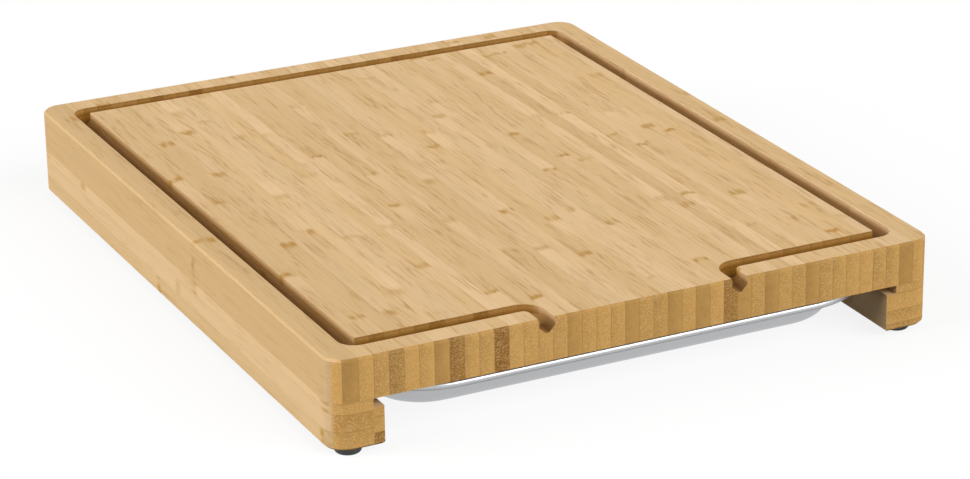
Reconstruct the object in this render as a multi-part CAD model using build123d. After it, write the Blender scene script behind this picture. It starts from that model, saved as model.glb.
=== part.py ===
from build123d import *
import math
import os

# A bamboo cutting board on two side rails. A pressed steel tray hangs by its rim in slots
# between the board and the rails, and slides out to the front, under the groove's spouts.
# Millimetres. X runs across the board, the front faces -Y and the feet stand on Z = 0.
# The origin is on the table, under the middle of the board.

# ---- Board ----
board_width = 300.0
board_depth = 360.0
board_thickness = 20.0
corner_radius = 10.0            # of the board and its rails, seen from above
top_edge_chamfer = 1.0
first_strip_width = 5.7         # the outer left strip, trimmed when the board was squared
strip_width = 7.08
thinnest_strip = 0.5            # a narrower remainder stays part of the last strip

# ---- Juice groove and its two spouts ----
groove_width = 7.9
groove_wall = 3.9               # upright, above the sloping sides
groove_depth = 6.8
groove_floor_width = 1.6
groove_margin = 12.2            # from the board's edge to the groove
groove_inner_radius = 0.3       # of the groove's inner edge in the board's corners
spout_spacing = 96.0            # between the middles of the two spouts
spout_turn_radius = 7.0         # of the groove's middle line where it turns to the front

# ---- Rails under the board's sides ----
rail_width = 24.3
rail_height = 22.0              # from the board down to the rail's underside
rail_edge_chamfer = 1.0
slot_height = 4.0
slot_depth = 5.0
left_spacer_height = 5.3
left_upper_height = 8.1
left_edge_upper_height = 4.7
left_edge_middle_height = 7.2
right_upper_height = 8.2
right_middle_height = 6.4

# ---- Stop bar between the rails, behind the tray ----
stop_bar_thickness = 12.0
stop_clearance = 0.5            # between the closed tray and the bar

# ---- Feet and their screws ----
foot_diameter = 12.0
foot_height = 3.0
foot_edge_chamfer = 1.2
left_foot_inset_x = 10.0        # from the board's side to the foot's middle
left_foot_inset_y = 7.0         # from the board's front or back to the foot's middle
right_foot_inset_x = 13.0
right_foot_inset_y = 9.0
screw_diameter = 3.0
screw_length = 9.0              # under the head
screw_head_diameter = 6.0
screw_head_height = 0.9
screw_head_sink = 0.7           # from the foot's underside up to the head
screw_head_clearance = 0.3      # round the head, in the foot's recess

# ---- Tray ----
tray_length = 325.0
tray_setback = 1.0              # of the closed tray's rim behind the board's front
tray_side_clearance = 0.5       # between the rim and the end of each slot
tray_slide_clearance = 0.3      # under the rim
tray_rim_height = 3.0
tray_rim_radius = 1.6
tray_flange_width = 12.0        # from the rim's outside to the bowl's wall
tray_bowl_depth = 18.5          # from the flange's top to the bowl's underside
tray_bowl_corner_radius = 30.0
tray_bowl_draft = 12.0          # degrees from upright
tray_floor_radius = 12.0        # outside, between the wall and the floor
tray_mouth_radius = 3.0
tray_sheet = 0.8

# ---- Levels and places worked out from the sizes above ----
board_low = foot_height + rail_height
board_high = board_low + board_thickness
front = -board_depth / 2
back = board_depth / 2
rail_inner = board_width / 2 - rail_width
slot_end = rail_inner + slot_depth
slot_floor = board_low - slot_height
tray_width = 2 * (slot_end - tray_side_clearance)
tray_front = front + tray_setback
tray_back = tray_front + tray_length
tray_rim_low = slot_floor + tray_slide_clearance
tray_high = tray_rim_low + tray_rim_height

OVERSHOOT = 5.0                 # of a cutting shape past what it cuts
STANDING = (Align.CENTER, Align.CENTER, Align.MIN)


def block(x_from, x_to, y_from, y_to, z_from, z_to):
    """A box between two corners."""
    place = Pos((x_from + x_to) / 2, (y_from + y_to) / 2, (z_from + z_to) / 2)
    return place * Box(x_to - x_from, y_to - y_from, z_to - z_from)


def outlined(height):
    """A plate with the outline that the board and its rails share."""
    return extrude(RectangleRounded(board_width, board_depth, corner_radius), height)


# ---- Board ----

def groove_section():
    """The cutter's outline: upright walls, sloping sides and a narrow flat bottom."""
    side = groove_width / 2
    bottom = groove_floor_width / 2
    outline = Polyline(
        (-side, OVERSHOOT),
        (-side, -groove_wall),
        (-bottom, -groove_depth),
        (bottom, -groove_depth),
        (side, -groove_wall),
        (side, OVERSHOOT),
        close=True,
    )
    return make_face(outline)


def juice_groove():
    """One cut from the left spout round the board to the right spout."""
    inset = groove_margin + groove_width / 2
    side_x = board_width / 2 - inset
    near_y = front + inset
    far_y = back - inset
    spout_x = spout_spacing / 2
    turn = groove_width / 2 + groove_inner_radius
    route = FilletPolyline(
        (-spout_x, front - OVERSHOOT),
        (-spout_x, near_y),
        (-side_x, near_y),
        (-side_x, far_y),
        (side_x, far_y),
        (side_x, near_y),
        (spout_x, near_y),
        (spout_x, front - OVERSHOOT),
        radius=[spout_turn_radius, turn, turn, turn, turn, spout_turn_radius],
    )
    route = Pos(0, 0, board_high) * route
    across = Plane(origin=route @ 0, x_dir=(-1, 0, 0), z_dir=(0, 1, 0))
    return sweep(across * groove_section(), path=route)


def board():
    """The whole board, before it is parted along its glue lines."""
    slab = Pos(0, 0, board_low) * outlined(board_thickness)
    slab = chamfer(slab.edges().group_by(Axis.Z)[-1], top_edge_chamfer)
    return slab - juice_groove()


def strip_joints():
    """Where the glue lines between the board's strips are, with its two sides."""
    side = board_width / 2
    joints = [-side]
    joint = first_strip_width - side
    while joint < side - thinnest_strip:
        joints.append(joint)
        joint += strip_width
    return joints + [side]


def board_strips():
    """The bamboo strips, on edge and glued side by side, from left to right."""
    whole = board()
    joints = strip_joints()
    strips = {}
    for number, (left, right) in enumerate(zip(joints, joints[1:]), start=1):
        strips[f"board_strip_{number:02}"] = whole & block(left, right, front, back, board_low, board_high)
    return strips


# ---- Rails ----

def rail(side):
    """One rail before it is parted into layers: slotted along its inside, drilled for the feet."""
    outer = side * board_width / 2
    low, high = sorted((side * rail_inner, outer))
    bar = Pos(0, 0, foot_height) * outlined(rail_height)
    bar &= block(low, high, front, back, foot_height, board_low)
    bar = chamfer(bar.edges().group_by(Axis.Z)[0], rail_edge_chamfer)
    low, high = sorted((side * (rail_inner - OVERSHOOT), side * slot_end))
    bar -= block(low, high, front, back, slot_floor, board_low)
    for x, y in foot_places(side):
        bar -= screw(x, y)
    return bar


def layer(bar, x_from, x_to, z_from, z_to):
    """What lies between two upright and two level glue lines of a rail."""
    low, high = sorted((x_from, x_to))
    return bar & block(low, high, front, back, z_from, z_to)


def left_rail():
    """Three wide layers, and three narrow strips that make the slot's floor and inner face."""
    bar = rail(-1)
    outer = -board_width / 2
    spacer_low = board_low - left_spacer_height
    upper_low = spacer_low - left_upper_height
    edge_upper_low = slot_floor - left_edge_upper_height
    edge_middle_low = edge_upper_low - left_edge_middle_height
    return {
        "left_rail_spacer": layer(bar, outer, -slot_end, spacer_low, board_low),
        "left_rail_upper_layer": layer(bar, outer, -slot_end, upper_low, spacer_low),
        "left_rail_lower_layer": layer(bar, outer, -slot_end, foot_height, upper_low),
        "left_rail_edge_upper": layer(bar, -slot_end, -rail_inner, edge_upper_low, slot_floor),
        "left_rail_edge_middle": layer(bar, -slot_end, -rail_inner, edge_middle_low, edge_upper_low),
        "left_rail_edge_lower": layer(bar, -slot_end, -rail_inner, foot_height, edge_middle_low),
    }


def right_rail():
    """A spacer beside the slot, over three layers of the rail's full width."""
    bar = rail(1)
    outer = board_width / 2
    upper_low = slot_floor - right_upper_height
    middle_low = upper_low - right_middle_height
    return {
        "right_rail_spacer": layer(bar, slot_end, outer, slot_floor, board_low),
        "right_rail_upper_layer": layer(bar, rail_inner, outer, upper_low, slot_floor),
        "right_rail_middle_layer": layer(bar, rail_inner, outer, middle_low, upper_low),
        "right_rail_lower_layer": layer(bar, rail_inner, outer, foot_height, middle_low),
    }


def stop_bar():
    """The bar that stops the closed tray and keeps the rails apart."""
    near = tray_back + stop_clearance
    return block(-rail_inner, rail_inner, near, near + stop_bar_thickness, foot_height, board_low)


# ---- Feet ----

def foot_places(side):
    """The middles of the front and the rear foot under one rail."""
    inset_x, inset_y = (
        (left_foot_inset_x, left_foot_inset_y) if side < 0 else (right_foot_inset_x, right_foot_inset_y)
    )
    x = side * (board_width / 2 - inset_x)
    return [(x, front + inset_y), (x, back - inset_y)]


def screw(x, y):
    """A pan-head screw, point up, that holds a foot to its rail."""
    head = Cylinder(screw_head_diameter / 2, screw_head_height, align=STANDING)
    shank = Cylinder(screw_diameter / 2, screw_length, align=STANDING)
    return Pos(x, y, screw_head_sink) * (head + Pos(0, 0, screw_head_height) * shank)


def foot_screws():
    """All four screws, as separate solids."""
    return Compound([screw(x, y) for side in (-1, 1) for x, y in foot_places(side)])


def foot(x, y):
    """A round rubber foot, bevelled at its underside, with a recess for the screw's head."""
    pad = Cylinder(foot_diameter / 2, foot_height, align=STANDING)
    pad = chamfer(pad.edges().group_by(Axis.Z)[0], foot_edge_chamfer)
    recess_radius = screw_head_diameter / 2 + screw_head_clearance
    pad -= Cylinder(recess_radius, screw_head_sink + screw_head_height, align=STANDING)
    return Pos(x, y, 0) * (pad - screw(0, 0))


# ---- Tray ----

def tray_section():
    """The sheet's section, from the rim's lower edge over the flange to the edge of the floor.

    X is the distance outwards from the bowl's mouth, and Y is the height.
    """
    floor = tray_high - tray_bowl_depth + tray_sheet
    lean = (tray_high - floor) * math.tan(math.radians(tray_bowl_draft))
    skin = FilletPolyline(
        (tray_flange_width, tray_rim_low),
        (tray_flange_width, tray_high),
        (0, tray_high),
        (-lean, floor),
        (-floor_inset(), floor),
        radius=[tray_rim_radius, tray_mouth_radius, tray_floor_radius - tray_sheet],
    )
    return make_face(offset(skin, amount=tray_sheet, side=Side.LEFT).edges())


def floor_inset():
    """How far in from the bowl's mouth its flat floor starts."""
    lean = tray_bowl_depth * math.tan(math.radians(tray_bowl_draft))
    return lean + tray_floor_radius


def tray():
    """A pan pressed from one sheet: a turned-down rim, a flat flange and a shallow bowl."""
    mouth_width = tray_width - 2 * tray_flange_width
    mouth_length = tray_length - 2 * tray_flange_width
    middle = Pos(0, (tray_front + tray_back) / 2)
    mouth = (middle * RectangleRounded(mouth_width, mouth_length, tray_bowl_corner_radius)).wire()
    along = mouth % 0
    across = Plane(origin=mouth @ 0, x_dir=along.cross(Vector(0, 0, 1)), z_dir=-along)
    walls = sweep(across * tray_section(), path=mouth)
    inset = floor_inset()
    floor = RectangleRounded(
        mouth_width - 2 * inset, mouth_length - 2 * inset, tray_bowl_corner_radius - inset
    )
    floor_low = tray_high - tray_bowl_depth
    return walls + middle * Pos(0, 0, floor_low) * extrude(floor, tray_sheet)


def pieces():
    """Every piece of the assembly under its own name."""
    named = {**board_strips(), **left_rail(), **right_rail()}
    named["rear_stop_bar"] = stop_bar()
    for side, rail_name in ((-1, "left"), (1, "right")):
        for (x, y), end in zip(foot_places(side), ("front", "rear")):
            named[f"{rail_name}_{end}_foot"] = foot(x, y)
    named["foot_screws"] = foot_screws()
    named["tray"] = tray()
    return named


os.makedirs("parts", exist_ok=True)
for name, shape in pieces().items():
    export_step(shape, f"parts/{name}.step")
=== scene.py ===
"""A bamboo cutting board on side rails, with a steel tray that slides under it.

The sizes in the property groups are in metres. Patterns in bamboo and steel are worked out in millimetres.
"""
import math
import random

import bmesh
import bpy
from bpy.props import FloatProperty, FloatVectorProperty, IntProperty, PointerProperty
from mathutils import Matrix, Vector


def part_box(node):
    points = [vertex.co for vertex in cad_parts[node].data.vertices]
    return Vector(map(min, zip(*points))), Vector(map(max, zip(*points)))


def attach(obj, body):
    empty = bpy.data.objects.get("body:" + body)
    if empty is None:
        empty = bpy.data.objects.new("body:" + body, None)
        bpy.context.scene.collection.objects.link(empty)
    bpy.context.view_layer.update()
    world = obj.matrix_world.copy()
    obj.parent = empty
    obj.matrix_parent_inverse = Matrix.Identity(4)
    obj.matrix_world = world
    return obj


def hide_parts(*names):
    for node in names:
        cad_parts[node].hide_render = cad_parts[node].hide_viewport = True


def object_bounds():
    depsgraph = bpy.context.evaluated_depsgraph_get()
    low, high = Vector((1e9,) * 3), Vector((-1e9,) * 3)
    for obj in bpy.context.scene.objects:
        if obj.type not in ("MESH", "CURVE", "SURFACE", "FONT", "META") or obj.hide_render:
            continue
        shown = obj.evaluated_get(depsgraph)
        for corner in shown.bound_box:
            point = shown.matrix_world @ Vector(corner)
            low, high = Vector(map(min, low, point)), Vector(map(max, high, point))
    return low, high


bl_info = {
    "name": "Cutting Board with Tray",
    "version": (1, 0, 0),
    "blender": (4, 5, 0),
    "location": "View3D > Sidebar > Cutting Board",
    "description": "Finishes the bamboo board, its rails, tray, feet and screws, and sets up a studio",
    "category": "Object",
}

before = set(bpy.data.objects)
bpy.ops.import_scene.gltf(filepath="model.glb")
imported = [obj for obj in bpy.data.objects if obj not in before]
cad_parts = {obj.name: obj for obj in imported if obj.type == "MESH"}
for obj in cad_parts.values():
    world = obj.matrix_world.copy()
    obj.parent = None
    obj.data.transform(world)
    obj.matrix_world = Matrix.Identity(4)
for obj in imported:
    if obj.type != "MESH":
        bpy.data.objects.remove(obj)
cad_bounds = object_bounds()

MM = 0.001
BOARD_TOP = cad_bounds[1].z / MM
WHITE = (1, 1, 1, 1)
BOARD_BODY = "board"
TRAY_BODY = "tray"
STRIP_NODES = sorted(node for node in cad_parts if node.startswith("board_strip_"))
RAIL_NODES = sorted(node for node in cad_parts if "_rail_" in node)
FOOT_NODES = sorted(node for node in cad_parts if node.endswith("_foot"))


def from_screen(red, green, blue):
    """A colour picked as 0 to 255 on a screen, as the linear colour that materials take."""
    parts = []
    for value in (red, green, blue):
        level = value / 255
        parts.append(level / 12.92 if level <= 0.04045 else ((level + 0.055) / 1.055) ** 2.4)
    return tuple(parts)


# ---- Settings ----

class BambooSettings(bpy.types.PropertyGroup):
    long_grain: FloatVectorProperty(
        name="Long Grain", description="Colour of the bamboo along its fibres",
        subtype="COLOR", default=from_screen(215, 180, 130), min=0, max=1)
    rosy_grain: FloatVectorProperty(
        name="Rosy Grain", description="Colour of the paler, rosier bamboo past a knuckle",
        subtype="COLOR", default=from_screen(231, 198, 156), min=0, max=1)
    end_grain: FloatVectorProperty(
        name="End Grain", description="Colour of the bamboo where its fibres are cut across",
        subtype="COLOR", default=from_screen(206, 158, 88), min=0, max=1)
    bundle: FloatVectorProperty(
        name="Bundles", description="Colour of the cut bundles in the end grain",
        subtype="COLOR", default=from_screen(232, 194, 132), min=0, max=1)
    fibre: FloatVectorProperty(
        name="Fibre", description="Colour of the darker fibres",
        subtype="COLOR", default=from_screen(170, 127, 72), min=0, max=1)
    knuckle: FloatVectorProperty(
        name="Knuckle", description="Colour of the marks where the cane had a knuckle",
        subtype="COLOR", default=from_screen(178, 134, 64), min=0, max=1)
    coarse: FloatVectorProperty(
        name="Coarse Grain", description="Colour of the strips cut from the dense outside of the cane",
        subtype="COLOR", default=from_screen(148, 102, 42), min=0, max=1)
    # Stands for the cutter's browning and for the painted shade deep in the groove and on its cross walls.
    groove: FloatVectorProperty(
        name="Groove", description="Colour of the wood where the cutter browned it",
        subtype="COLOR", default=from_screen(134, 88, 12), min=0, max=1)
    roughness: FloatProperty(
        name="Roughness", description="Roughness of the oiled wood", default=0.68, min=0, max=1)
    seed: IntProperty(
        name="Seed", description="Picks another set of strips", default=11, min=0)


class TraySettings(bpy.types.PropertyGroup):
    steel: FloatVectorProperty(
        name="Steel", description="Colour of the satin steel",
        subtype="COLOR", default=from_screen(184, 185, 187), min=0, max=1)
    roughness: FloatProperty(
        name="Roughness", description="Roughness of the satin steel", default=0.4, min=0, max=1)
    sheet: FloatProperty(
        name="Sheet", description="Thickness of the steel sheet",
        unit="LENGTH", default=0.8 * MM, min=0.2 * MM, max=2 * MM)
    flange: FloatProperty(
        name="Flange", description="From the rim's outside to the bowl's wall",
        unit="LENGTH", default=12 * MM, min=0)
    corner_radius: FloatProperty(
        name="Corner Radius", description="Radius of the bowl's corners at its mouth, seen from above",
        unit="LENGTH", default=30 * MM, min=0)
    rim_height: FloatProperty(
        name="Rim Height", description="Height of the turned-down rim",
        unit="LENGTH", default=3 * MM, min=0)
    rim_radius: FloatProperty(
        name="Rim Radius", description="Outside radius of the bend into the rim",
        unit="LENGTH", default=1.6 * MM, min=0)
    mouth_radius: FloatProperty(
        name="Mouth Radius", description="Radius of the bend from the flange into the bowl",
        unit="LENGTH", default=3 * MM, min=0)
    floor_radius: FloatProperty(
        name="Floor Radius", description="Inside radius of the bend from the wall into the floor",
        unit="LENGTH", default=11.2 * MM, min=0)
    draft: FloatProperty(
        name="Draft", description="Lean of the bowl's walls",
        subtype="ANGLE", default=math.radians(12), min=0, max=math.radians(60))


class FootSettings(bpy.types.PropertyGroup):
    rubber: FloatVectorProperty(
        name="Rubber", description="Colour of the rubber",
        subtype="COLOR", default=from_screen(44, 45, 48), min=0, max=1)
    dust: FloatVectorProperty(
        name="Dust", description="Colour of the dust on the rubber",
        subtype="COLOR", default=from_screen(128, 124, 118), min=0, max=1)
    edge_radius: FloatProperty(
        name="Edge Radius", description="Rounding of the foot's lower edge",
        unit="LENGTH", default=1.5 * MM, min=0)
    recess_radius: FloatProperty(
        name="Recess Radius", description="Radius of the recess for the screw's head",
        unit="LENGTH", default=3.3 * MM, min=0)
    recess_depth: FloatProperty(
        name="Recess Depth", description="Depth of the recess for the screw's head",
        unit="LENGTH", default=1.6 * MM, min=0)
    screw_radius: FloatProperty(
        name="Screw Radius", description="Radius of the screw's shank",
        unit="LENGTH", default=1.5 * MM, min=0)
    head_radius: FloatProperty(
        name="Head Radius", description="Radius of the screw's head",
        unit="LENGTH", default=3 * MM, min=0)
    head_height: FloatProperty(
        name="Head Height", description="Height of the screw's head",
        unit="LENGTH", default=0.9 * MM, min=0)
    cross_length: FloatProperty(
        name="Cross Length", description="Length of the arms of the recess in the screw's head",
        unit="LENGTH", default=3.4 * MM, min=0)
    cross_width: FloatProperty(
        name="Cross Width", description="Width of the arms, and twice the depth of the recess",
        unit="LENGTH", default=0.8 * MM, min=0)
    screw_steel: FloatVectorProperty(
        name="Screw Steel", description="Colour of the screws",
        subtype="COLOR", default=from_screen(170, 171, 173), min=0, max=1)
    screw_roughness: FloatProperty(
        name="Screw Roughness", description="Roughness of the screws", default=0.35, min=0, max=1)


class StudioSettings(bpy.types.PropertyGroup):
    floor: FloatVectorProperty(
        name="Floor", description="Colour of the floor where it lights the object",
        subtype="COLOR", default=(0.07, 0.07, 0.07), min=0, max=1)
    floor_glow: FloatProperty(
        name="Floor Glow", description="How much of the floor's white in the picture takes no shadow",
        default=0.86, min=0, max=1)
    sky_strength: FloatProperty(
        name="Sky", description="Strength of the even light from all round", default=0.22, min=0)
    left_strength: FloatProperty(
        name="Left", description="Strength of the broad light from the left", default=3.35, min=0)
    left_from: FloatVectorProperty(
        name="Left From", description="Direction that the light from the left comes from",
        subtype="DIRECTION", default=(-0.93, 0.22, 0.36))
    front_strength: FloatProperty(
        name="Front", description="Strength of the light from the front, which draws the tray's rim",
        default=2.6, min=0)
    front_from: FloatVectorProperty(
        name="Front From", description="Direction that the light from the front comes from",
        subtype="DIRECTION", default=(0.42, -0.74, 0.53))
    spread: FloatProperty(
        name="Spread", description="How wide each light is in the sky",
        subtype="ANGLE", default=math.radians(48), min=0)
    eye: FloatVectorProperty(
        name="Eye", description="Place of the camera",
        subtype="XYZ", unit="LENGTH", default=(-0.6644, -1.3774, 0.6228))
    heading: FloatProperty(
        name="Heading", description="Direction that the camera looks in, from +Y towards +X",
        subtype="ANGLE", default=math.radians(28.199))
    pitch: FloatProperty(
        name="Pitch", description="How far the camera looks down",
        subtype="ANGLE", default=math.radians(21.897))
    focal_pixels: FloatProperty(
        name="Focal Length", description="Focal length in pixels of the picture", default=3408.95)
    centre_x: FloatProperty(
        name="Centre", description="Pixel column that the camera looks along", default=600)


SETTINGS = {
    "board_bamboo": BambooSettings,
    "board_tray": TraySettings,
    "board_feet": FootSettings,
    "board_studio": StudioSettings,
}


def settings(name):
    """One of the scene's groups of settings."""
    return getattr(bpy.context.scene, name)


# ---- Node trees: sockets as values ----

class Wire:
    """A number that comes out of a node. Python's operators on it add Math nodes."""

    def __init__(self, nodes, socket):
        self.nodes = nodes
        self.socket = socket

    def maths(self, operation, *values):
        return self.nodes.node("ShaderNodeMath", {"operation": operation}, dict(enumerate(values)))

    def __add__(self, other):
        return self.maths("ADD", self, other)

    def __sub__(self, other):
        return self.maths("SUBTRACT", self, other)

    def __rsub__(self, other):
        return self.maths("SUBTRACT", other, self)

    def __mul__(self, other):
        return self.maths("MULTIPLY", self, other)

    def __truediv__(self, other):
        return self.maths("DIVIDE", self, other)

    def __abs__(self):
        return self.maths("ABSOLUTE", self)

    __radd__ = __add__
    __rmul__ = __mul__

    def lesser(self, other):
        return self.maths("MINIMUM", self, other)

    def greater(self, other):
        return self.maths("MAXIMUM", self, other)

    def wrapped(self, half):
        """The number, taken back by whole ranges into the one from minus half to half."""
        return self.maths("WRAP", self, -half, half)


class Nodes:
    """A node tree while it is put together."""

    def __init__(self, tree):
        self.tree = tree
        self.tree.nodes.clear()

    def node(self, kind, settings=None, sockets=None, output=0):
        """Adds a node: its settings first, then the values or wires of its sockets."""
        node = self.tree.nodes.new(kind)
        for key, value in (settings or {}).items():
            setattr(node, key, value)
        for key, value in (sockets or {}).items():
            if isinstance(value, Wire):
                self.tree.links.new(value.socket, node.inputs[key])
            else:
                node.inputs[key].default_value = value
        self.last = node
        return Wire(self, node.outputs[output]) if node.outputs else None

    def rays(self, *kinds):
        """One for the kinds of ray that are named, and zero for the others."""
        self.node("ShaderNodeLightPath")
        chosen = [Wire(self, self.last.outputs[kind]) for kind in kinds]
        return sum(chosen[1:], chosen[0])


class Finish(Nodes):
    """A material while it is put together."""

    def __init__(self, name):
        self.material = bpy.data.materials.new(name)
        self.material.use_nodes = True
        super().__init__(self.material.node_tree)
        self.made = {}

    def place(self, output="Object"):
        """The point on the piece in metres, or its normal."""
        if output not in self.made:
            self.made[output] = self.node("ShaderNodeTexCoord", output=output)
        return self.made[output]

    def split(self, vector):
        """The three parts of a vector."""
        self.node("ShaderNodeSeparateXYZ", None, {0: vector})
        return [Wire(self, socket) for socket in self.last.outputs]

    def join(self, x, y, z):
        return self.node("ShaderNodeCombineXYZ", None, {0: x, 1: y, 2: z})

    def scaled(self, vector, factor):
        """A point or a colour times a number."""
        return self.node("ShaderNodeVectorMath", {"operation": "SCALE"}, {0: vector, "Scale": factor})

    def millimetres(self):
        """The three parts of the point on the piece."""
        return self.split(self.scaled(self.place(), 1 / MM))

    def noise(self, vector, scale=1.0, detail=2.0, roughness=0.5):
        values = {"Vector": vector, "Scale": scale, "Detail": detail, "Roughness": roughness}
        return self.node("ShaderNodeTexNoise", None, values, "Fac")

    def cells(self, vector, scale=1.0):
        """The distance to the nearest of many scattered points."""
        values = {"Vector": vector, "Scale": scale}
        return self.node("ShaderNodeTexVoronoi", {"feature": "F1"}, values, "Distance")

    def step(self, value, low, high, to_low=0.0, to_high=1.0):
        """A smooth step: to_low up to low, to_high from high on."""
        values = {0: value, 1: low, 2: high, 3: to_low, 4: to_high}
        return self.node("ShaderNodeMapRange", {"interpolation_type": "SMOOTHSTEP"}, values)

    def fall(self, value, low, high):
        """A smooth step down, from one at low to zero at high."""
        return self.step(value, low, high, 1.0, 0.0)

    def mix(self, factor, first, second):
        """The first colour at a factor of zero, and the second at one."""
        colours = [value if isinstance(value, Wire) else (*value[:3], 1) for value in (first, second)]
        values = {0: factor, 6: colours[0], 7: colours[1]}
        return self.node("ShaderNodeMix", {"data_type": "RGBA"}, values, 2)

    def bump(self, height, strength, distance):
        values = {"Strength": strength, "Distance": distance, "Height": height}
        return self.node("ShaderNodeBump", None, values)

    def finish(self, values):
        """Connects the surface and gives the material."""
        shader = self.node("ShaderNodeBsdfPrincipled", None, values)
        self.node("ShaderNodeOutputMaterial", None, {"Surface": shader})
        return self.material


# ---- Bamboo ----

# Strips are counted from the left, and layers go by their node.
COARSE_STRIPS = {5: 0.45, 9: 0.85, 12: 1.0, 28: 0.8}
PLAIN_STRIPS = {2, 8, 17, 21, 24, 26, 29, 31, 34, 41}
PALE_STRIPS = {1, 3, 6, 7, 10, 13, 15, 16, 19, 20, 22, 27, 32, 36, 38, 42}
TAWNY_STRIPS = {1, 2, 42, 43}            # outside the groove
COARSE_LAYERS = {
    "left_rail_edge_lower": 0.9,
    "left_rail_upper_layer": 0.25,
    "right_rail_lower_layer": 0.3,
}
PALE_LAYERS = {"left_rail_spacer", "left_rail_edge_middle", "right_rail_spacer", "right_rail_upper_layer"}
OTHER_LAYERS_COARSE = 0.05
PALE_STRIP_LIFT = 0.06
PALE_LAYER_LIFT = 0.04
TAWNY_DROP = 0.05
FAINT = 0.3                              # of the usual paler wood past a knuckle
CALM = 0.5                               # of the usual streaks

# Lengths in millimetres.
WAVER = 5.0                              # of the fibres from a straight line
KNUCKLE_UNEVENNESS = 7.0                 # over the lamella's width
KNUCKLE_FRAY = 3.0                       # from fibre to fibre
KNUCKLE_SMEAR = 30.0                     # before a knuckle
KNUCKLE_PALE = (6.0, 45.0)               # past a knuckle: full up to the first, gone at the second
GLUE_LINE = (0.04, 0.32)                 # from a joint: full up to the first, gone at the second
TOP_CHAMFER = (0.92, 1.08)               # under the top: painted shade up to the first, none from the second on
# Painted shade: how much darker the end grain is on the top chamfer, which the lamps light more than the
# faces beside it
TOP_CHAMFER_PAINTED_SHADE = 0.24
GROOVE_FRAME = (138.2, 168.2)            # from the middle, past the groove's outer walls
GROOVE_REACH = 7.4                       # under the top
SPOUT_PLACE = 48.0                       # from the middle
SPOUT_REACH = 4.3                        # to each side of a spout's middle
SPOUT_ENDS = (-179.8, -160.0)

# Parts of the surface's normal.
FACING_FIBRES = (0.5, 0.7)               # along the fibres, from side grain to end grain
CROSS_WALL = (0.3, 0.8)                  # along Y, from the groove's side walls to its cross walls, where more painted shade goes


class Lamella:
    """One glued piece of bamboo: its glued faces in millimetres, and which way its fibres run."""

    def __init__(self, node, fibres="y", thin="x"):
        low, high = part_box(node)
        self.node = node
        self.fibres = "xyz".index(fibres)
        self.thin = "xyz".index(thin)
        self.wide = 3 - self.fibres - self.thin
        self.low = low[self.thin] / MM
        self.high = high[self.thin] / MM
        chance = random.Random(f"{node} {settings('board_bamboo').seed}")
        self.tone = 1 + chance.uniform(-0.05, 0.035)
        self.end_tone = 1 + chance.uniform(-0.07, 0.05)
        self.rosy = chance.choice((0.0, 0.1, 0.3, 0.5))
        self.plain = 0.0                                 # one: hardly any bundles in the end grain
        self.coarse = 0.0                                # one: from the dense outside of the cane
        self.lean = chance.uniform(0.02, 0.12)           # of the end grain's tone, from side to side
        self.busy = 1.0                                  # strength of the streaks
        self.drift = chance.uniform(20, 400)             # takes the patterns to another place
        self.internode = chance.uniform(125, 225)        # from knuckle to knuckle
        self.knuckle_place = chance.uniform(0, self.internode)
        self.knuckle_length = chance.uniform(3.2, 6.8)
        self.knuckle_strength = chance.choice((0.3, 0.5, 0.75, 0.95))
        self.paleness = chance.uniform(0.05, 0.5)        # past a knuckle
        self.way = chance.choice((-1, 1))                # the way that the cane grew


class Grain:
    """A place on a lamella in millimetres: along its fibres, through it and over its width."""

    def __init__(self, wood, lamella, point):
        self.wood = wood
        self.lamella = lamella
        self.along = point[lamella.fibres]
        self.thin = point[lamella.thin]
        self.wide = point[lamella.wide]

    def noise(self, thin, along, wide, shift=0.0, way=1, detail=2.0, roughness=0.5):
        """A noise with its own scale each way, and another part of it on each lamella."""
        drift = way * self.lamella.drift
        vector = self.wood.join(self.thin * thin + shift, self.along * along + drift, self.wide * wide)
        return self.wood.noise(vector, 1.0, detail, roughness)

    def glue_line(self):
        """One at the glued faces on both sides of the lamella, and zero inside it."""
        gap = (self.thin - self.lamella.low).lesser(self.lamella.high - self.thin)
        return self.wood.fall(gap, *GLUE_LINE)


def bamboo(lamella, in_groove=False):
    """Bamboo with fibres and knuckles along it, and cut bundles on its ends."""
    look = settings("board_bamboo")
    wood = Finish(f"bamboo_{lamella.node}")
    point = wood.millimetres()
    normal = [abs(part) for part in wood.split(wood.place("Normal"))]
    end = wood.step(normal[lamella.fibres], *FACING_FIBRES)
    grain = Grain(wood, lamella, point)
    long_colour, fine = long_grain(grain, look)
    end_colour, bundles = end_grain(grain, look)
    colour = wood.mix(end, long_colour, end_colour)
    glue = grain.glue_line()
    colour = wood.mix(glue * (0.16 + 0.42 * end), colour, look.fibre)
    # Painted shade on the end grain's top chamfer, to take back the extra light that falls on it
    chamfer = wood.fall(BOARD_TOP - point[2], *TOP_CHAMFER)
    colour = wood.scaled(colour, 1.0 - TOP_CHAMFER_PAINTED_SHADE * (chamfer * end))
    # The groove's colour: the cutter's browning, with painted shade in its depth and on its cross walls.
    if in_groove:
        colour = wood.mix(groove_browning_and_shade(wood, point, normal[1]), colour, look.groove)
    height = fine * 0.6 + bundles * end * 0.5 - glue * 0.8
    values = {
        "Base Color": colour,
        "Roughness": look.roughness + 0.1 * fine + 0.08 * end,
        "Normal": wood.bump(height, 0.2, 0.2 * MM),
        "Specular IOR Level": 0.18,
    }
    return wood.finish(values)


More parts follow.
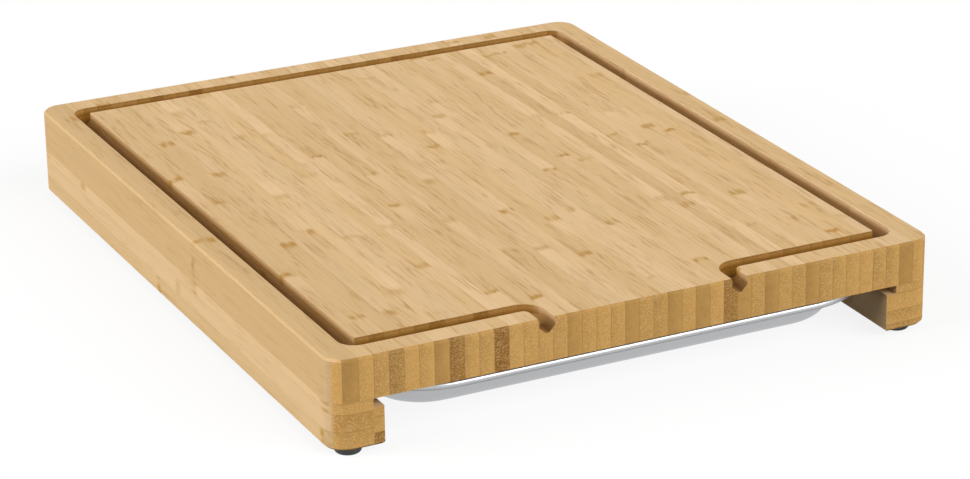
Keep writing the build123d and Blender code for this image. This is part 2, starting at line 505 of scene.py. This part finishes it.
def long_grain(grain, look):
    """The bamboo along its fibres, and the fibres' own pattern."""
    wood, lamella = grain.wood, grain.lamella
    waver = (grain.noise(thin=0.06, along=0.014, wide=0.06) - 0.5) * WAVER
    broad = grain.noise(thin=0.3, along=0.008, wide=0.3, shift=waver * 0.1)
    streaks = grain.noise(thin=0.6, along=0.017, wide=0.6, shift=waver, detail=3.0, roughness=0.62)
    fine = grain.noise(thin=1.9, along=0.04, wide=1.9, shift=waver * 2, way=-1, roughness=0.6)
    swing = 0.14 * lamella.busy
    tone = lamella.tone * (0.93 + 0.14 * (broad - 0.5) + swing * (streaks - 0.5) + 0.08 * fine)
    colour = wood.scaled(wood.mix(lamella.rosy, look.long_grain, look.rosy_grain), tone)
    colour = wood.mix(dark_lines(grain, streaks, fine), colour, look.fibre)
    return knuckles(grain, look, colour, streaks, fine), fine


def dark_lines(grain, streaks, fine):
    """Drawn out and broken lines where the streaks peak, and thin ones between them."""
    wood, busy = grain.wood, grain.lamella.busy
    lines = wood.fall(abs(streaks - 0.56), 0.0, 0.06)
    broken = wood.step(grain.noise(thin=0.25, along=0.03, wide=0.25), 0.42, 0.6)
    ridges = wood.step(fine, 0.55, 0.7)
    return lines * broken * (0.6 * busy) + ridges * (0.3 * busy)


def knuckles(grain, look, colour, streaks, fine):
    """Soft and uneven marks, sharper on one side, with paler and rosier wood past that side."""
    wood, lamella = grain.wood, grain.lamella
    length = lamella.knuckle_length
    uneven = (grain.noise(thin=0.3, along=0.02, wide=0.09) - 0.5) * KNUCKLE_UNEVENNESS
    nearest = (grain.along + (uneven + lamella.knuckle_place)).wrapped(lamella.internode / 2)
    past = nearest * lamella.way + (fine - 0.5) * KNUCKLE_FRAY
    patch = grain.noise(thin=0.33, along=0.013, wide=0.12, way=-1)
    tail = wood.fall(past, 0.0, 0.55 * length)
    dark = wood.step(past, -length, -0.2 * length) * tail * wood.step(patch, 0.36, 0.56)
    smear = wood.step(past, -KNUCKLE_SMEAR, 0.0) * tail * wood.step(streaks, 0.45, 0.62)
    pale = wood.step(past, 0.1 * length, length) * wood.fall(past, *KNUCKLE_PALE)
    colour = wood.mix(smear * (0.3 * lamella.knuckle_strength), colour, look.fibre)
    colour = wood.mix(pale * lamella.paleness, colour, look.rosy_grain)
    return wood.mix(dark * lamella.knuckle_strength, colour, look.knuckle)


def end_grain(grain, look):
    """Pale wriggly bundles in a darker ground, and the bundles' own pattern."""
    wood, lamella, thin, wide = grain.wood, grain.lamella, grain.thin, grain.wide
    inwards = grain.along * 0.02 + lamella.drift
    across = wood.join(thin, inwards, wide)
    wriggle = wood.noise(across, 0.8, 2.0, 0.6) - 0.5
    bundles_at = wood.join(thin + wriggle * 1.6, inwards, wide - wriggle * 1.6)
    bundles = wood.fall(wood.cells(bundles_at, 1.25), 0.14, 0.6)
    clouds = wood.noise(across, 0.22, 2.0, 0.5)
    side = (thin - lamella.low) / (lamella.high - lamella.low) - 0.5
    if lamella.thin == 2:
        side = 0 - side
    evenness = lamella.end_tone * (1.0 - 0.1 * lamella.plain)
    tone = evenness + side * (2 * lamella.lean) + (clouds - 0.5) * 0.24
    ground = wood.scaled(wood.mix(lamella.coarse, look.end_grain, look.coarse), tone)
    dots = bundles * (0.56 - 0.4 * lamella.plain)
    if lamella.coarse > 0.4:
        dash_at = wood.join(thin * 0.7 + wriggle * 3, inwards, wide * 2.1 + wriggle * 2)
        dash = wood.step(wood.noise(dash_at, 1.0, 2.0, 0.6), 0.54, 0.64)
        dots = dots * 0.7 + dash * 0.4
    return wood.mix(dots, ground, look.bundle), bundles


def band(wood, value, low, high):
    """One between two places."""
    return wood.step(value, low - 0.1, low + 0.1) * wood.fall(value, high - 0.1, high + 0.1)


def groove_browning_and_shade(wood, point, across):
    """How dark the juice groove and its spouts are: partly the cutter's browning, partly painted shade that
    grows with depth and is most where they cross the fibres.
    """
    x, y, z = point
    depth = BOARD_TOP - z
    frame_x, frame_y = GROOVE_FRAME
    ring = band(wood, x, -frame_x, frame_x) * band(wood, y, -frame_y, frame_y)
    spouts = band(wood, abs(abs(x) - SPOUT_PLACE), -1.0, SPOUT_REACH) * band(wood, y, *SPOUT_ENDS)
    # Painted shade: darker with depth below the top and on the cross walls, over the cutter's browning.
    browned_and_shaded = 0.32 + 0.46 * wood.step(depth, 0.5, 4.2) + 0.18 * wood.step(across, *CROSS_WALL)
    return ring.greater(spouts) * band(wood, depth, 0.2, GROOVE_REACH) * browned_and_shaded


def dress(node, material):
    """Gives a CAD node one material."""
    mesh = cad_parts[node].data
    mesh.materials.clear()
    mesh.materials.append(material)


# ---- Modelling helpers ----

SHARP_ANGLE = math.radians(38)


def as_object(name, shape):
    """Puts a bmesh into the scene, and frees it."""
    mesh = bpy.data.meshes.new(name)
    shape.to_mesh(mesh)
    shape.free()
    made = bpy.data.objects.new(name, mesh)
    bpy.context.scene.collection.objects.link(made)
    return made


def new_piece(name, shape, material, body, nodes):
    """Makes a piece of a bmesh, and lets it stand for CAD nodes."""
    bmesh.ops.recalc_face_normals(shape, faces=shape.faces)
    piece = as_object(name, shape)
    piece.data.shade_smooth()
    piece.data.set_sharp_from_angle(angle=SHARP_ANGLE)
    piece.data.materials.append(material)
    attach(piece, body)
    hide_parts(*nodes)
    return piece


def rounded_route(points, radii, steps):
    """The points of a bent line, with each inner corner rounded to its radius."""
    corners = [Vector(point) for point in points]
    route = [corners[0]]
    for before, corner, after, radius in zip(corners, corners[1:], corners[2:], radii):
        back = (before - corner).normalized()
        ahead = (after - corner).normalized()
        half = back.angle(ahead) / 2
        middle = corner + (back + ahead).normalized() * (radius / math.sin(half))
        start = corner + back * (radius / math.tan(half))
        turn = (start - middle).angle_signed(corner + ahead * (radius / math.tan(half)) - middle)
        for number in range(steps + 1):
            route.append(middle + Matrix.Rotation(-turn * number / steps, 2) @ (start - middle))
    return route + [corners[-1]]


def turned(profile, steps):
    """A closed outline of (radius, height) points spun round the Z axis."""
    shape = bmesh.new()
    verts = [shape.verts.new((radius, 0, height)) for radius, height in profile]
    edges = [shape.edges.new(pair) for pair in zip(verts, verts[1:] + verts[:1])]
    bmesh.ops.spin(
        shape, geom=verts + edges, cent=(0, 0, 0), axis=(0, 0, 1),
        angle=2 * math.pi, steps=steps, use_merge=True)
    bmesh.ops.remove_doubles(shape, verts=shape.verts, dist=1e-6)
    return shape


# ---- Tray ----

TRAY_CORNER_STEPS = 28
TRAY_BEND_STEPS = 8


def satin_steel(name, colour, roughness):
    """Steel with fine brushing across it, a few handling marks and duller patches."""
    steel = Finish(name)
    x, y, z = steel.millimetres()
    brushing = steel.noise(steel.join(x * 0.03, y * 6.0, z * 6.0), 1.0, 3.0, 0.6)
    patches = steel.noise(steel.place(), 14.0, 3.0, 0.55)
    marks = steel.step(steel.noise(steel.join(x * 0.5, y * 0.06, z), 1.0, 5.0, 0.7), 0.66, 0.74)
    values = {
        "Base Color": steel.scaled(colour, 0.93 + 0.06 * brushing + 0.05 * patches),
        "Metallic": 1.0,
        "Roughness": roughness + 0.12 * (brushing - 0.5) + 0.1 * (patches - 0.5) + 0.06 * marks,
        "Normal": steel.bump(brushing, 0.06, 0.05 * MM),
    }
    return steel.finish(values)


def tray_shape(look):
    """The sheet's upper skin, pushed inwards and downwards from the rim's lower edge."""
    low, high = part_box("tray")
    size = high - low
    middle = (low + high) / 2
    rim_low = high.z - look.rim_height
    floor = low.z + look.sheet
    lean = (high.z - floor) * math.tan(look.draft)
    # Each corner is the distance outwards from the bowl's mouth, and the height.
    corners = [
        (look.flange, rim_low),
        (look.flange, high.z),
        (0, high.z),
        (-lean, floor),
        (-lean - 2 * look.floor_radius, floor),
    ]
    route = rounded_route(corners, [look.rim_radius, look.mouth_radius, look.floor_radius], TRAY_BEND_STEPS)
    shape = bmesh.new()
    bmesh.ops.create_grid(shape, x_segments=1, y_segments=1, size=0.5)
    bmesh.ops.scale(shape, vec=(size.x, size.y, 1), verts=shape.verts)
    bmesh.ops.translate(shape, vec=(middle.x, middle.y, rim_low), verts=shape.verts)
    bmesh.ops.bevel(
        shape, geom=shape.verts[:], offset=look.flange + look.corner_radius, offset_type="OFFSET",
        affect="VERTICES", segments=TRAY_CORNER_STEPS, profile=0.5, material=-1)
    shape.faces.ensure_lookup_table()
    bottom = shape.faces[0]
    for here, there in zip(route, route[1:]):
        bmesh.ops.inset_region(
            shape, faces=[bottom], thickness=here.x - there.x, depth=there.y - here.y,
            use_even_offset=True, use_boundary=True)
    return shape


# ---- Feet and screws ----

FOOT_EASE = 0.25 * MM                    # of the foot's small edges
FOOT_BEND_STEPS = 6
FOOT_TURN_STEPS = 48
SCREW_AXIS = 0.02 * MM                   # the outline stays this far from the axis
SCREW_HEAD_ROUND = 0.5 * MM
SCREW_EASE = 0.1 * MM
SCREW_POINT_ROUND = 0.4 * MM
SCREW_POINT_LENGTH = 1.6                 # times the shank's radius
SCREW_BEND_STEPS = 5
SCREW_TURN_STEPS = 32


def rubber(name, colour, dust):
    """Matt rubber with a moulded grain and a little dust."""
    pad = Finish(name)
    grain = pad.noise(pad.place(), 2600.0, 2.0, 0.6)
    dusty = pad.noise(pad.place(), 420.0, 3.0, 0.6)
    values = {
        "Base Color": pad.mix(pad.step(dusty, 0.45, 0.75) * 0.12, colour, dust),
        "Roughness": 0.55 + 0.25 * dusty,
        "Normal": pad.bump(grain, 0.3, 0.04 * MM),
    }
    return pad.finish(values)


def foot_shape(look, height, radius):
    """A round pad with an eased underside and a recess for the screw's head."""
    corners = [
        (look.screw_radius, height),
        (radius, height),
        (radius, 0),
        (look.recess_radius, 0),
        (look.recess_radius, look.recess_depth),
        (look.screw_radius, look.recess_depth),
    ]
    radii = [FOOT_EASE, look.edge_radius, FOOT_EASE, FOOT_EASE]
    return turned(rounded_route(corners, radii, FOOT_BEND_STEPS), FOOT_TURN_STEPS)


def screw_shape(look, low, high):
    """A pan head, and a shank with a point."""
    under_head = low + look.head_height
    point_from = high - look.screw_radius * SCREW_POINT_LENGTH
    corners = [
        (SCREW_AXIS, low),
        (look.head_radius, low),
        (look.head_radius, under_head),
        (look.screw_radius, under_head),
        (look.screw_radius, point_from),
        (SCREW_AXIS, high),
    ]
    radii = [SCREW_HEAD_ROUND, SCREW_EASE, SCREW_EASE, SCREW_POINT_ROUND]
    return turned(rounded_route(corners, radii, SCREW_BEND_STEPS), SCREW_TURN_STEPS)


def cross_shape(look, low):
    """The plus-shaped cutter for the recess in a screw's head."""
    shape = bmesh.new()
    bmesh.ops.create_cube(shape, size=look.cross_width)
    shape.normal_update()
    sides = [face for face in shape.faces if abs(face.normal.z) < 0.5]
    for arm in bmesh.ops.extrude_discrete_faces(shape, faces=sides)["faces"]:
        arm.normal_update()
        reach = arm.normal * (look.cross_length - look.cross_width) / 2
        bmesh.ops.translate(shape, vec=reach, verts=arm.verts)
    bmesh.ops.recalc_face_normals(shape, faces=shape.faces)
    bmesh.ops.translate(shape, vec=(0, 0, low), verts=shape.verts)
    return shape


def cut_away(shape, cutter):
    """The first shape's mesh without what the cutter takes off."""
    body, tool = as_object("body", shape), as_object("tool", cutter)
    cut = body.modifiers.new("Cut", "BOOLEAN")
    cut.object = tool
    mesh = bpy.data.meshes.new_from_object(body.evaluated_get(bpy.context.evaluated_depsgraph_get()))
    for spare in (body.data, tool.data):
        bpy.data.meshes.remove(spare)
    return mesh


# ---- Operators ----

class FinishStrips(bpy.types.Operator):
    """Give each bamboo strip of the board its own grain"""
    bl_idname = "cutting_board.finish_strips"
    bl_label = "Finish Board Strips"

    def execute(self, context):
        for number, node in enumerate(STRIP_NODES, start=1):
            lamella = Lamella(node, thin="x")
            lamella.coarse = COARSE_STRIPS.get(number, 0.0)
            lamella.plain = 1.0 if number in PLAIN_STRIPS else 0.0
            if number in PALE_STRIPS:
                lamella.end_tone += PALE_STRIP_LIFT
            if number in TAWNY_STRIPS:
                lamella.tone -= TAWNY_DROP
                lamella.rosy = 0.0
                lamella.paleness *= FAINT
            if number == 1:
                lamella.busy = CALM
            dress(node, bamboo(lamella, in_groove=True))
        return {"FINISHED"}


class FinishRails(bpy.types.Operator):
    """Give each glued layer of the two rails its own grain"""
    bl_idname = "cutting_board.finish_rails"
    bl_label = "Finish Rails"

    def execute(self, context):
        for node in RAIL_NODES:
            lamella = Lamella(node, thin="z")
            lamella.coarse = COARSE_LAYERS.get(node, OTHER_LAYERS_COARSE)
            lamella.paleness *= FAINT
            lamella.busy = CALM
            if node in PALE_LAYERS:
                lamella.end_tone += PALE_LAYER_LIFT
            dress(node, bamboo(lamella))
        return {"FINISHED"}


class FinishStopBar(bpy.types.Operator):
    """Give the stop bar its grain, which runs from side to side"""
    bl_idname = "cutting_board.finish_stop_bar"
    bl_label = "Finish Stop Bar"

    def execute(self, context):
        dress("rear_stop_bar", bamboo(Lamella("rear_stop_bar", fibres="x", thin="y")))
        return {"FINISHED"}


class FormTray(bpy.types.Operator):
    """Press the steel tray with its rim, flange and bowl"""
    bl_idname = "cutting_board.form_tray"
    bl_label = "Form Tray"

    def execute(self, context):
        look = settings("board_tray")
        material = satin_steel("satin_steel", look.steel, look.roughness)
        piece = new_piece("steel_tray", tray_shape(look), material, TRAY_BODY, ["tray"])
        wall = piece.modifiers.new("Sheet", "SOLIDIFY")
        wall.thickness = look.sheet
        wall.offset = -1
        wall.use_even_offset = True
        return {"FINISHED"}


class FormFeet(bpy.types.Operator):
    """Turn the four rubber feet"""
    bl_idname = "cutting_board.form_feet"
    bl_label = "Form Feet"

    def execute(self, context):
        look = settings("board_feet")
        material = rubber("black_rubber", look.rubber, look.dust)
        for node in FOOT_NODES:
            low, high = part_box(node)
            shape = foot_shape(look, high.z - low.z, (high.x - low.x) / 2)
            place = ((low.x + high.x) / 2, (low.y + high.y) / 2, low.z)
            bmesh.ops.translate(shape, vec=place, verts=shape.verts)
            new_piece(f"rubber_{node}", shape, material, BOARD_BODY, [node])
        return {"FINISHED"}


class FormScrews(bpy.types.Operator):
    """Turn the screws that hold the feet"""
    bl_idname = "cutting_board.form_screws"
    bl_label = "Form Screws"

    def execute(self, context):
        look = settings("board_feet")
        low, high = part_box("foot_screws")
        material = satin_steel("screw_steel", look.screw_steel, look.screw_roughness)
        screw = cut_away(screw_shape(look, low.z, high.z), cross_shape(look, low.z))
        whole = bmesh.new()
        for node in FOOT_NODES:
            foot_low, foot_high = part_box(node)
            middle = (foot_low + foot_high) / 2
            already = len(whole.verts)
            whole.from_mesh(screw)
            whole.verts.ensure_lookup_table()
            bmesh.ops.translate(whole, vec=(middle.x, middle.y, 0), verts=whole.verts[already:])
        bpy.data.meshes.remove(screw)
        new_piece("steel_foot_screws", whole, material, BOARD_BODY, ["foot_screws"])
        return {"FINISHED"}


PICTURE_WIDTH = 970
SENSOR_WIDTH = 36
CLIP_START = 0.01
CLIP_END = 50
FLOOR_RADIUS = 9
FLOOR_SIDES = 96


class SetUpStudio(bpy.types.Operator):
    """Lay the floor and place the lights and the camera"""
    bl_idname = "cutting_board.set_up_studio"
    bl_label = "Set Up Studio"

    def execute(self, context):
        look = settings("board_studio")
        self.lay_floor(look)
        self.light_sky(context.scene, look)
        self.hang_lamp("left", look.left_from, look.left_strength, look.spread)
        self.hang_lamp("front", look.front_from, look.front_strength, look.spread)
        self.place_camera(context.scene, look)
        context.scene.view_settings.view_transform = "Standard"
        return {"FINISHED"}

    def lay_floor(self, look):
        """A floor that is dull where it lights the object, and white with a light shadow where it is seen."""
        surface = Finish("studio_floor")
        mottle = surface.noise(surface.place(), 3.0)
        dull = surface.node("ShaderNodeBsdfDiffuse", None, {"Color": (*look.floor, 1)})
        paper = surface.node("ShaderNodeBsdfDiffuse", None, {"Color": WHITE})
        glow = surface.node("ShaderNodeEmission", None, {"Color": WHITE, "Strength": 1.0})
        share = look.floor_glow + 0.004 * (mottle - 0.5)
        seen = surface.node("ShaderNodeMixShader", None, {0: share, 1: paper, 2: glow})
        looked_at = surface.rays("Is Camera Ray", "Is Glossy Ray", "Is Transmission Ray")
        either = surface.node("ShaderNodeMixShader", None, {0: looked_at, 1: dull, 2: seen})
        surface.node("ShaderNodeOutputMaterial", None, {"Surface": either})
        shape = bmesh.new()
        bmesh.ops.create_circle(shape, cap_ends=True, segments=FLOOR_SIDES, radius=FLOOR_RADIUS)
        floor = as_object("studio_floor", shape)
        floor.data.materials.append(surface.material)

    def light_sky(self, scene, look):
        """A weak even light from all round, and plain white where the sky is seen."""
        scene.world = bpy.data.worlds.new("studio_sky")
        scene.world.use_nodes = True
        sky = Nodes(scene.world.node_tree)
        even = sky.node("ShaderNodeBackground", None, {"Color": WHITE, "Strength": look.sky_strength})
        white = sky.node("ShaderNodeBackground", None, {"Color": WHITE, "Strength": 1.0})
        looked_at = sky.rays("Is Camera Ray", "Is Glossy Ray")
        either = sky.node("ShaderNodeMixShader", None, {0: looked_at, 1: even, 2: white})
        sky.node("ShaderNodeOutputWorld", None, {"Surface": either})

    def hang_lamp(self, name, comes_from, strength, spread):
        """A broad light from far away."""
        lamp = bpy.data.lights.new(name, "SUN")
        lamp.energy = strength
        lamp.angle = spread
        holder = bpy.data.objects.new(name, lamp)
        holder.rotation_euler = comes_from.to_track_quat("Z", "Y").to_euler()
        bpy.context.scene.collection.objects.link(holder)

    def place_camera(self, scene, look):
        """A camera that looks down without roll, with the object to one side of its middle."""
        camera = bpy.data.cameras.new("camera")
        camera.sensor_fit = "HORIZONTAL"
        camera.sensor_width = SENSOR_WIDTH
        camera.lens = SENSOR_WIDTH * look.focal_pixels / PICTURE_WIDTH
        camera.shift_x = (PICTURE_WIDTH / 2 - look.centre_x) / PICTURE_WIDTH
        camera.clip_start = CLIP_START
        camera.clip_end = CLIP_END
        holder = bpy.data.objects.new("camera", camera)
        holder.location = look.eye
        holder.rotation_euler = (math.pi / 2 - look.pitch, 0, -look.heading)
        scene.collection.objects.link(holder)
        scene.camera = holder


class CuttingBoardPanel(bpy.types.Panel):
    """Lists the board's pieces and their settings"""
    bl_idname = "VIEW3D_PT_cutting_board"
    bl_label = "Cutting Board"
    bl_space_type = "VIEW_3D"
    bl_region_type = "UI"
    bl_category = "Cutting Board"

    def draw(self, context):
        layout = self.layout
        for name, group in SETTINGS.items():
            box = layout.box()
            for key in group.__annotations__:
                box.prop(getattr(context.scene, name), key)
        for operator in OPERATORS:
            layout.operator(operator.bl_idname)


OPERATORS = (
    FinishStrips,
    FinishRails,
    FinishStopBar,
    FormTray,
    FormFeet,
    FormScrews,
    SetUpStudio,
)


def register():
    for group in SETTINGS.values():
        bpy.utils.register_class(group)
    for operator in OPERATORS:
        bpy.utils.register_class(operator)
    bpy.utils.register_class(CuttingBoardPanel)
    for name, group in SETTINGS.items():
        setattr(bpy.types.Scene, name, PointerProperty(type=group))


def unregister():
    for name in SETTINGS:
        delattr(bpy.types.Scene, name)
    bpy.utils.unregister_class(CuttingBoardPanel)
    for operator in reversed(OPERATORS):
        bpy.utils.unregister_class(operator)
    for group in SETTINGS.values():
        bpy.utils.unregister_class(group)


def main():
    register()
    bpy.ops.cutting_board.finish_strips()
    bpy.ops.cutting_board.finish_rails()
    bpy.ops.cutting_board.finish_stop_bar()
    bpy.ops.cutting_board.form_tray()
    bpy.ops.cutting_board.form_feet()
    bpy.ops.cutting_board.form_screws()
    bpy.ops.cutting_board.set_up_studio()


if __name__ == "__main__":
    main()
